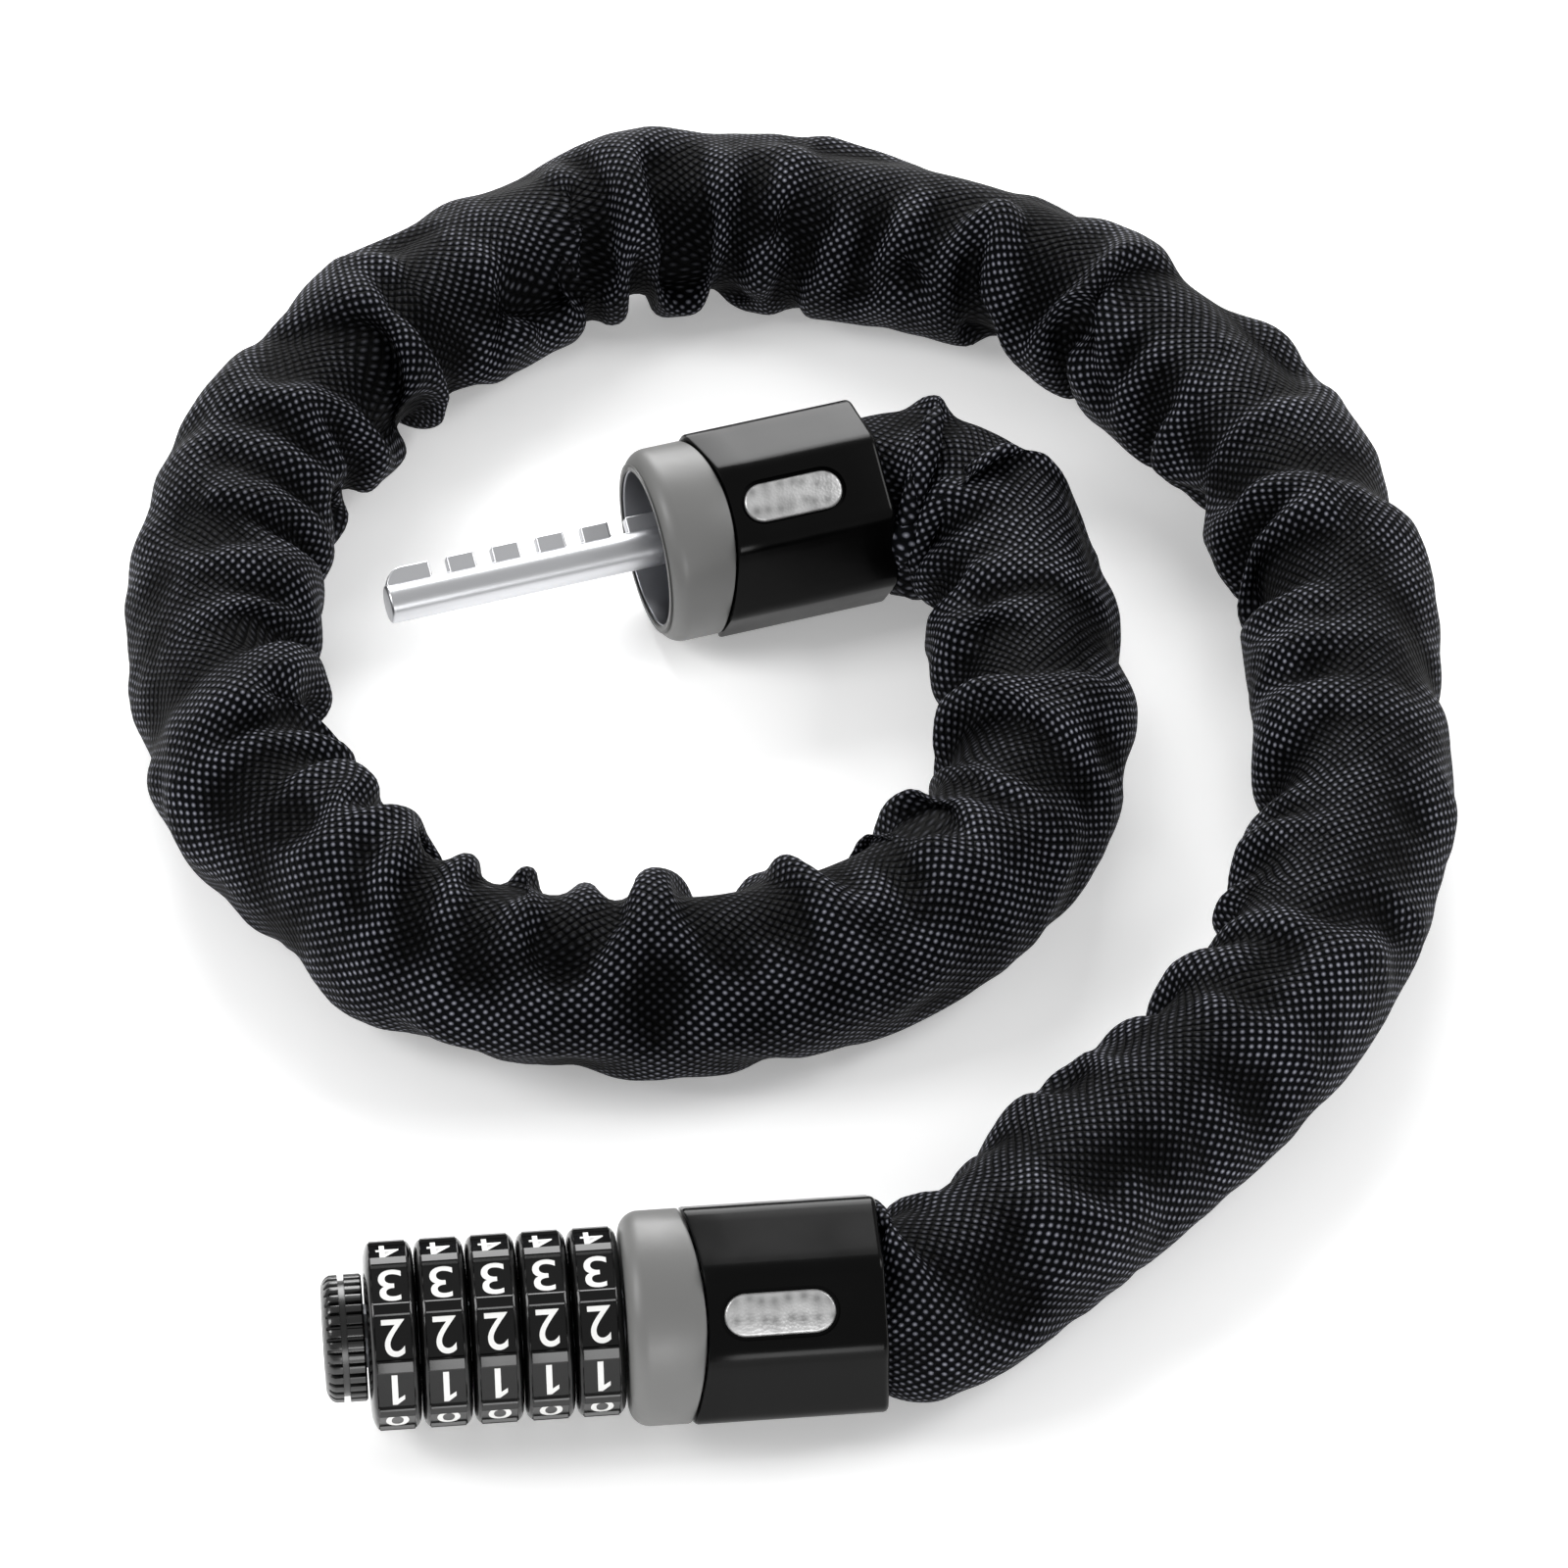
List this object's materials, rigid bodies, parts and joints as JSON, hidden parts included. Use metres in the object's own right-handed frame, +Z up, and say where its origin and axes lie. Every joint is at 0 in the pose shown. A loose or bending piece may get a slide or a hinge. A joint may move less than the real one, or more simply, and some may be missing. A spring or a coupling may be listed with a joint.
{
  "type": "combination chain lock",
  "caption": "Bicycle chain lock: steel chain in a woven fabric sleeve, with a turning-dial combination lock on one end and a toothed locking pin on the other.",
  "frame": {"origin": "centre of the flat side of the dial lock's collar that rests on the floor", "axes": "+X along the dial lock from its knob to its chain, +Z up, and the loop of chain lies towards +Y"},
  "size_m": [0.2164, 0.2919, 0.0344],
  "materials": {
    "black_plastic": "moulded black ABS, satin gloss",
    "dial_plastic": "moulded black ABS with white filled digits",
    "grey_plastic": "moulded mid-grey ABS, satin",
    "badge_film": "silver embossed plastic badge",
    "plated_steel": "bright nickel-plated steel",
    "brass": "turned brass",
    "core_steel": "machined steel",
    "spring_steel": "spring steel",
    "chain_steel": "hardened square-bar chain, zinc plated",
    "woven_sleeve": "black coarse-woven polyester"
  },
  "bodies": {
    "lock_body": {"lock_collar": "black_plastic", "lock_badge": "badge_film", "lock_ring": "grey_plastic", "lock_barrel": "brass", "lock_block": "core_steel", "lock_anchor_pin": "core_steel", "lock_clamp": "core_steel", "detent_leaf": "spring_steel", "wave_washer": "spring_steel", "retaining_clip": "spring_steel", "pin_collar": "black_plastic", "pin_badge": "badge_film", "pin_ring": "grey_plastic", "pin_cup": "plated_steel", "locking_pin": "plated_steel", "pin_block": "core_steel", "pin_anchor_pin": "core_steel", "pin_clamp": "core_steel", "sleeve": "woven_sleeve", "chain_link_01": "chain_steel", "chain_link_02": "chain_steel", "chain_link_03": "chain_steel", "chain_link_04": "chain_steel", "chain_link_05": "chain_steel", "chain_link_06": "chain_steel", "chain_link_07": "chain_steel", "chain_link_08": "chain_steel", "chain_link_09": "chain_steel", "chain_link_10": "chain_steel", "chain_link_11": "chain_steel", "chain_link_12": "chain_steel", "chain_link_13": "chain_steel", "chain_link_14": "chain_steel", "chain_link_15": "chain_steel", "chain_link_16": "chain_steel", "chain_link_17": "chain_steel", "chain_link_18": "chain_steel", "chain_link_19": "chain_steel", "chain_link_20": "chain_steel", "chain_link_21": "chain_steel", "chain_link_22": "chain_steel", "chain_link_23": "chain_steel", "chain_link_24": "chain_steel", "chain_link_25": "chain_steel", "chain_link_26": "chain_steel", "chain_link_27": "chain_steel", "chain_link_28": "chain_steel", "chain_link_29": "chain_steel"},
    "dial_unit_1": {"dial_1": "dial_plastic", "code_ring_1": "brass"},
    "dial_unit_2": {"dial_2": "dial_plastic", "code_ring_2": "brass"},
    "dial_unit_3": {"dial_3": "dial_plastic", "code_ring_3": "brass"},
    "dial_unit_4": {"dial_4": "dial_plastic", "code_ring_4": "brass"},
    "dial_unit_5": {"dial_5": "dial_plastic", "code_ring_5": "brass"},
    "knob": {"reset_knob": "black_plastic"}
  },
  "joints": [
    {"name": "dial_1_turn", "type": "hinge", "parent": "lock_body", "child": "dial_unit_1", "pos_m": [-0.0597, 0, 0.0165], "axis": [1, 0, 0], "continuous": true},
    {"name": "dial_2_turn", "type": "hinge", "parent": "lock_body", "child": "dial_unit_2", "pos_m": [-0.0519, 0, 0.0165], "axis": [1, 0, 0], "continuous": true},
    {"name": "dial_3_turn", "type": "hinge", "parent": "lock_body", "child": "dial_unit_3", "pos_m": [-0.0441, 0, 0.0165], "axis": [1, 0, 0], "continuous": true},
    {"name": "dial_4_turn", "type": "hinge", "parent": "lock_body", "child": "dial_unit_4", "pos_m": [-0.0363, 0, 0.0165], "axis": [1, 0, 0], "continuous": true},
    {"name": "dial_5_turn", "type": "hinge", "parent": "lock_body", "child": "dial_unit_5", "pos_m": [-0.0285, 0, 0.0165], "axis": [1, 0, 0], "continuous": true},
    {"name": "reset_knob_turn", "type": "hinge", "parent": "lock_body", "child": "knob", "pos_m": [-0.067, 0, 0.0165], "axis": [1, 0, 0], "range_deg": [0, 90]}
  ]
}
